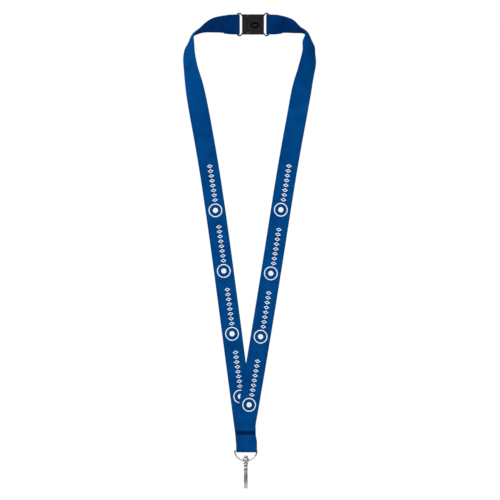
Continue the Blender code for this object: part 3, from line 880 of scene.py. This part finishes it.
def build_plug(material):
    shoulder_x = PARTING_X - MOUTH_GAP / 2.0
    plug = clasp_block("plug_shell", (-CLASP_HALF_WIDTH, shoulder_x))
    apply_steps(plug, [bevel_step(EDGE_ROUND, 5)])
    skirt = plain("plug_skirt", box((shoulder_x - 1.5, PARTING_X + 1.2),
                                    (CAVITY_Y[0] + 0.15, CAVITY_Y[1] - 0.15),
                                    (0.2 - CAVITY_HALF, CAVITY_HALF - 0.2)))
    steps = [join_step(bar_frame("plug_frame", -1)), join_step(skirt)]
    prong = [(shoulder_x - 1.5, 4.3, 0.0), (PRONG_END_X, 4.3, 0.6), (PRONG_END_X, 6.6, 0.6),
             (PRONG_END_X - 2.0, 7.4, 0.8), (PRONG_END_X - 3.6, 6.6, 0.5), (shoulder_x - 1.5, 6.6, 0.0)]
    for label, side in (("upper", 1), ("lower", -1)):
        arm = plain("prong_" + label, prism(rounded_outline(prong, 5),
                                            lambda u, w, end, side=side: (u, PRONG_Y[end], side * w)))
        steps.append(join_step(apply_steps(arm, [bevel_step(0.3, 3)])))
    tongue = [(shoulder_x - 1.5, -2.2, 0.0), (TONGUE_END_X, -2.2, 1.2),
              (TONGUE_END_X, 2.2, 1.2), (shoulder_x - 1.5, 2.2, 0.0)]
    blade = plain("plug_blade", prism(rounded_outline(tongue, 5), lambda u, w, end: (u, PRONG_Y[end], w)))
    steps.append(join_step(apply_steps(blade, [bevel_step(0.3, 3)])))
    apply_steps(plug, steps)
    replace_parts(finish_piece(plug, material, "left_side"), "clasp_plug")


# ---------------------------------------------------------------- ring and swivel
RING_HALF_WIDTH = 10.5
RING_CORNER = 1.0
RING_DROP = 8.8
BOSS_R = 3.05
BOSS_TOP = -7.0
BOSS_BOTTOM = -11.5
RIVET_R = 0.95
RIVET_HEAD_R = 2.0
RIVET_HEAD_HEIGHT = 1.9
HOOK_TOP = -11.8
HOOK_LENGTH = 24.2
HOOK_THICK = 3.4
NECK_R = 2.1
NECK_LENGTH = 2.6
EYE_SHIFT = -1.1
PIVOT = (-2.6, -6.2)
PIN_R = 0.5
SLOT_HALF_X = 1.0
HUB_X = (-0.7, 0.0)
LEVER_HALF_X = 1.35
SPRING_WIRE_R = 0.12
SPRING_COIL_R = 0.95
SPRING_X = (0.3, 0.84)
SPRING_TURNS = 1.25


def ring_points(bar):
    flat = RING_HALF_WIDTH - RING_CORNER
    points = [(bar.x + x, bar.z) for x in np.linspace(-flat, flat, 16)]
    for k in range(1, 8):
        angle = math.pi / 2.0 * (1.0 - k / 8.0)
        points.append((bar.x + flat + RING_CORNER * math.cos(angle),
                       bar.z - RING_CORNER + RING_CORNER * math.sin(angle)))
    for k in range(97):
        angle = -math.pi * k / 96.0
        points.append((bar.x + RING_HALF_WIDTH * math.cos(angle),
                       bar.z - RING_CORNER + RING_DROP * math.sin(angle)))
    for k in range(1, 8):
        angle = math.pi / 2.0 * (1.0 + (8 - k) / 8.0)
        points.append((bar.x - flat + RING_CORNER * math.cos(angle),
                       bar.z - RING_CORNER + RING_CORNER * math.sin(angle)))
    return [(x, bar.y, z) for x, z in points]


def build_ring(bar, material):
    ring = plain("ring_wire", tube(ring_points(bar), WIRE_R, sides=20, closed=True))
    top = bar.z + BOSS_TOP
    bottom = bar.z + BOSS_BOTTOM
    profile = [(0.0, top), (BOSS_R - 0.95, top)]
    for k in range(13):
        t = k / 12.0
        swell = math.sin(math.pi * t) ** 0.55
        profile.append((BOSS_R - 0.8 + 0.8 * swell, top - 0.18 + (bottom - top + 0.36) * t))
    profile += [(BOSS_R - 0.95, bottom), (0.0, bottom)]
    boss = plain("ring_boss_solid", turned(profile, bar.x, bar.y))
    hole_r = RIVET_R + FIT_GAP
    bore = plain("ring_boss_bore", turned([(0.0, top + 1.0), (hole_r, top + 1.0), (hole_r, bottom - 1.0),
                                           (0.0, bottom - 1.0)], bar.x, bar.y))
    apply_steps(ring, [join_step(boss), cut_step(bore)])
    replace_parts(finish_piece(ring, material, "ring"), "d_ring")


def build_rivet(bar, material):
    seat = bar.z + BOSS_TOP + FIT_GAP
    tip = bar.z + HOOK_TOP - 2.2
    dome = [(RIVET_HEAD_R * math.cos(a), seat + 0.5 + (RIVET_HEAD_HEIGHT - 0.5) * math.sin(a))
            for a in np.radians(np.linspace(84, 0, 12))]
    profile = [(0.0, seat + RIVET_HEAD_HEIGHT)] + dome
    profile += [(RIVET_HEAD_R, seat + 0.3), (RIVET_HEAD_R - 0.2, seat + 0.05), (RIVET_HEAD_R - 0.35, seat),
                (RIVET_R, seat), (RIVET_R, tip), (0.0, tip)]
    rivet = plain("rivet", turned(profile, bar.x, bar.y))
    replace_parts(finish_piece(rivet, material, "hook"), "swivel_rivet")


# ---------------------------------------------------------------- hook and gate
def hook_place(bar, x):
    return lambda u, w, end: (bar.x + x[end], bar.y + EYE_SHIFT + u, bar.z + HOOK_TOP + w)


def pin_shape(bar, radius, half_length, sides=32):
    outline = [(PIVOT[0] + u, PIVOT[1] + w) for u, w in circle(radius, sides)]
    return prism(outline, hook_place(bar, (-half_length, half_length)))


def build_hook(bar, material):
    half = HOOK_THICK / 2.0
    outline = [(-2.4, -1.9, 0.7), (3.7, -1.9, 1.2), (6.0, -8.0, 4.0), (6.0, -HOOK_LENGTH, 5.8),
               (-5.6, -HOOK_LENGTH, 5.2), (-5.6, -18.4, 0.9), (-3.3, -18.4, 0.7), (-3.3, -21.4, 1.9),
               (3.4, -21.4, 2.6), (3.4, -10.2, 2.6), (0.4, -8.2, 0.8), (-4.4, -8.2, 1.2), (-4.4, -3.8, 1.4)]
    hook = plain("hook_casting", prism(rounded_outline(outline, 14), hook_place(bar, (-half, half))))
    apply_steps(hook, [bevel_step(0.85, 6, 50.0)])
    top = bar.z + HOOK_TOP
    profile = [(0.0, top), (NECK_R - 0.45, top), (NECK_R - 0.12, top - 0.15), (NECK_R, top - 0.5),
               (NECK_R, top - 1.2), (NECK_R - 0.15, top - 1.7), (NECK_R - 0.5, top - 2.2),
               (NECK_R - 0.5, top - NECK_LENGTH), (0.0, top - NECK_LENGTH)]
    neck = plain("hook_neck", turned(profile, bar.x, bar.y))
    hole_r = RIVET_R + FIT_GAP
    hole = plain("hook_hole", turned([(0.0, top + 1.0), (hole_r, top + 1.0), (hole_r, top - 2.5),
                                      (0.0, top - 2.5)], bar.x, bar.y))
    slot = [(-9.0, -3.4, 0.0), (0.3, -3.4, 0.8), (0.9, -6.0, 0.8), (0.3, -9.4, 0.0), (-9.0, -9.4, 0.0)]
    gate_slot = plain("hook_slot", prism(rounded_outline(slot, 5),
                                         hook_place(bar, (-SLOT_HALF_X, SLOT_HALF_X))))
    pin_hole = plain("hook_pin_hole", pin_shape(bar, PIN_R + 0.06, half + 1.0))
    apply_steps(hook, [join_step(neck), cut_step(hole), cut_step(gate_slot), cut_step(pin_hole)])
    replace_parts(finish_piece(hook, material, "hook"), "hook_body")


def build_gate(bar, material):
    hub = [(-7.6, -4.2, 0.3), (-7.2, -3.4, 0.3), (-4.6, -5.0, 0.8), (-2.6, -4.6, 0.9), (-1.1, -5.4, 0.9),
           (-1.5, -10.4, 0.0), (-3.0, -10.4, 0.0), (-4.1, -6.4, 0.9)]
    gate = plain("gate_plate", prism(rounded_outline(hub, 8), hook_place(bar, HUB_X)))
    apply_steps(gate, [bevel_step(0.12, 2, 50.0)])
    lever = [(-3.0, -8.9, 0.3), (-1.5, -8.9, 0.3), (-1.5, -19.7, 0.6), (-3.0, -19.7, 0.4)]
    lever_place = hook_place(bar, (-LEVER_HALF_X, LEVER_HALF_X))
    blade = plain("gate_blade", prism(rounded_outline(lever, 6), lever_place))
    apply_steps(blade, [bevel_step(0.4, 4, 50.0)])
    tab = [(-7.9, -4.3, 0.4), (-7.3, -3.1, 0.4), (-5.6, -4.1, 0.2), (-5.9, -5.2, 0.2)]
    thumb = plain("gate_thumb", prism(rounded_outline(tab, 6), lever_place))
    apply_steps(thumb, [bevel_step(0.3, 3, 50.0)])
    bore = plain("gate_bore", pin_shape(bar, PIN_R + 0.1, HOOK_THICK))
    apply_steps(gate, [join_step(blade), join_step(thumb), cut_step(bore)])
    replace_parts(finish_piece(gate, material, "gate"), "hook_gate")


def build_pin(bar, material):
    pin = plain("gate_pivot_pin", pin_shape(bar, PIN_R, HOOK_THICK / 2.0 + 0.02))
    apply_steps(pin, [bevel_step(0.1, 2)])
    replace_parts(finish_piece(pin, material, "hook"), "gate_pin")


def build_spring(bar, material):
    u, w = PIVOT
    leg = [(SPRING_X[0], u + SPRING_COIL_R + 0.55, w - 3.6),
           (SPRING_X[0], u + SPRING_COIL_R + 0.35, w - 2.0)]
    steps = 60
    coil = []
    for k in range(steps + 1):
        turn = k / steps
        angle = 2.0 * math.pi * SPRING_TURNS * turn
        coil.append((SPRING_X[0] + (SPRING_X[1] - SPRING_X[0]) * turn,
                     u + SPRING_COIL_R * math.cos(angle), w + SPRING_COIL_R * math.sin(angle)))
    far_leg = [(SPRING_X[1], u + 1.4, w + SPRING_COIL_R + 0.05), (SPRING_X[1], u + 2.5, w + SPRING_COIL_R)]
    points = [(bar.x + x, bar.y + EYE_SHIFT + du, bar.z + HOOK_TOP + dw)
              for x, du, dw in leg + coil + far_leg]
    spring = plain("gate_coil", tube(points, SPRING_WIRE_R, sides=10))
    finish_piece(spring, material, None)
    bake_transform(spring)
    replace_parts(spring, "gate_spring")


# ---------------------------------------------------------------- stage, light and camera
CAMERA_DISTANCE = 2200.0
FRONT_PLANE = -8.5
MM_PER_PIXEL = 0.952         # at the front straps, in a picture 500 pixels wide
PICTURE = 500.0
VIEW_CENTRE = (-2.87, -215.8)
FLOOR_RADIUS = 1150.0
FLOOR_Z = -620.0


def build_camera():
    data = bpy.data.cameras.new("photo_camera")
    data.sensor_width = 36.0
    focal_pixels = (CAMERA_DISTANCE + FRONT_PLANE) / MM_PER_PIXEL
    data.lens = focal_pixels * data.sensor_width / PICTURE
    data.clip_end = 20.0
    camera = bpy.data.objects.new("photo_camera", data)
    camera.location = Vector((VIEW_CENTRE[0], -CAMERA_DISTANCE, VIEW_CENTRE[1])) * MM
    camera.rotation_euler = (math.radians(90.0), 0.0, 0.0)
    bpy.context.scene.collection.objects.link(camera)
    bpy.context.scene.camera = camera


def area_light(name, place, target, size, power):
    data = bpy.data.lights.new(name, "AREA")
    data.shape = "RECTANGLE"
    data.size, data.size_y = size
    data.energy = power
    lamp = bpy.data.objects.new(name, data)
    lamp.location = place
    lamp.rotation_euler = (Vector(target) - Vector(place)).to_track_quat("-Z", "Y").to_euler()
    lamp.visible_camera = False
    bpy.context.scene.collection.objects.link(lamp)


def build_world():
    """White to the camera; a soft studio with darker sides for reflections."""
    world = bpy.data.worlds.new("studio")
    bpy.context.scene.world = world
    world.use_nodes = True
    tree = world.node_tree
    background = tree.nodes["Background"]
    background.inputs["Strength"].default_value = 1.0
    paths = node(tree, "ShaderNodeLightPath")
    direction = node(tree, "ShaderNodeTexCoord").outputs["Generated"]
    x, _, z = axes(tree, direction)
    panels = ramp(tree, scaled(tree, x, 0.5, 0.5),
                  grey_stops((0.0, 0.3), (0.12, 0.02), (0.26, 0.03), (0.34, 0.4), (0.45, 0.2),
                             (0.52, 0.02), (0.6, 0.22), (0.8, 0.36), (0.9, 0.02), (1.0, 0.2)))
    ends = ramp(tree, scaled(tree, z, 0.5, 0.5),
                grey_stops((0.0, 0.05), (0.3, 0.0), (0.62, 0.0), (0.8, 0.5), (1.0, 0.35)))
    dome = node(tree, "ShaderNodeVectorMath", operation="ADD")
    tree.links.new(panels, dome.inputs[0])
    tree.links.new(ends, dome.inputs[1])
    colour = mix_colour(tree, paths.outputs["Is Camera Ray"], dome.outputs["Vector"], (1.0, 1.0, 1.0))
    tree.links.new(colour, background.inputs["Color"])


def build_floor():
    outline = circle(FLOOR_RADIUS, 96)
    vertices = [(x, y, FLOOR_Z) for x, y in outline]
    material, tree, shader = new_material("floor_pale")
    place = object_place(tree)
    colour = ramp(tree, noise(tree, place, 3.0), grey_stops((0.3, 0.80), (0.7, 0.84)))
    tree.links.new(colour, shader.inputs["Base Color"])
    shader.inputs["Roughness"].default_value = 0.8
    floor = add_piece("studio_floor", vertices, [tuple(range(len(outline)))], material, None)


def build_lights():
    middle = (0.0, 0.0, -0.2)
    area_light("key_left", (-1.5, -0.9, 1.2), middle, (1.6, 1.2), 17.0)
    area_light("accent_left", (-1.9, -0.1, 0.7), middle, (0.7, 0.9), 14.0)
    area_light("front", (0.04, -0.62, 0.02), (0.04, 0.0, 0.02), (0.8, 0.6), 2.5)
    area_light("fill_right", (1.8, -1.5, 0.3), middle, (1.2, 1.6), 1.2)
    area_light("rim_back", (0.3, 1.6, 0.8), middle, (1.2, 0.8), 4.0)


# ---------------------------------------------------------------- assembly
def build_straps(cloth, ink, thread):
    left = Strap(-1, KNOTS, LEFT_HEADING, LEFT_TWIST, LEFT_END, SEAM_Y)
    right = Strap(1, KNOTS + LOOP_KNOTS, RIGHT_HEADING + LOOP_HEADING, RIGHT_TWIST, RIGHT_END,
                  SEAM_Y - fold_radius(WIRE_R))
    right.loop_rows()
    for strap in (left, right):
        strap.close()
        strap.sewn = [(TAIL_LENGTH - s, 0.12, 1.0) for s in TAIL_STITCHES_AT]
    seam = right.flat_at_z(SEAM_SEWING_Z)
    right.sewn.append((seam, SEAM_DIP, SEAM_DIP_HALF))
    left_web = webbing("left_webbing", left, cloth, None)
    right_web = webbing("right_webbing", right, cloth, "root")
    left_print = prints("left_print", left, ink, None)
    right_print = prints("right_print", right, ink, "root")
    sewing = {}
    for label, strap, body in (("left", left, "left_side"), ("right", right, "root")):
        shapes = []
        for s in TAIL_STITCHES_AT:
            shapes += stitch_row(strap, TAIL_LENGTH - s, SEWN_SHARE)
        vertices, faces = merged(shapes)
        sewing[label] = add_piece(label + "_tail_stitches", vertices, faces, thread, body)
        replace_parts(sewing[label], label + "_tail_thread")
    vertices, faces = merged(zigzag_row(right, seam, SEWN_SHARE))
    seam_sewing = add_piece("seam_bar_tack", vertices, faces, thread, "root")
    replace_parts(seam_sewing, "seam_thread")
    for item in (left_web, left_print):
        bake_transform(item)
    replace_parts(left_web, "strap_left")
    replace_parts(right_web, "strap_right")
    return right.bar


def main():
    cloth = webbing_material()
    bar = build_straps(cloth, ink_material(), thread_material())
    plastic = plastic_material()
    build_socket(plastic, groove_shade_material())
    build_plug(plastic)
    plate = metal_material("nickel_plate", (0.57, 0.565, 0.55), 0.07)
    steel = metal_material("spring_steel", (0.70, 0.70, 0.71), 0.16)
    build_ring(bar, plate)
    build_rivet(bar, plate)
    build_hook(bar, plate)
    build_gate(bar, plate)
    build_pin(bar, steel)
    build_spring(bar, steel)
    build_camera()
    build_world()
    build_lights()
    build_floor()
    bpy.context.scene.view_settings.view_transform = "Standard"


main()
